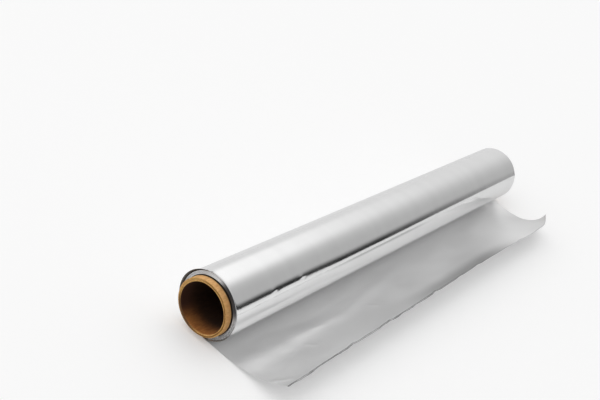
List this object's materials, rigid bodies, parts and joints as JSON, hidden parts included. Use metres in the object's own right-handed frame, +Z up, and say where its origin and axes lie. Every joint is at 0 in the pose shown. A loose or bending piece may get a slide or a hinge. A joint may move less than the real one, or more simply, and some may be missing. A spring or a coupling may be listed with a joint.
{
  "type": "aluminium foil roll",
  "caption": "Household roll of thin aluminium foil wound on a paperboard tube, lying with its loose end pulled out and curling up.",
  "frame": {"origin": "on the table, under the middle of the roll's axis", "axes": "+X along the roll's axis towards the curled corner of the loose sheet, -Y the way the loose sheet runs, +Z up"},
  "size_m": [0.308, 0.0724, 0.0351],
  "materials": {
    "paperboard": "uncoated brown paperboard, spirally wound",
    "foil": "bright on the outside of the roll, matte on the inside of the sheet"
  },
  "bodies": {
    "root": {"core_tube": "paperboard", "foil": "foil"}
  },
  "joints": []
}
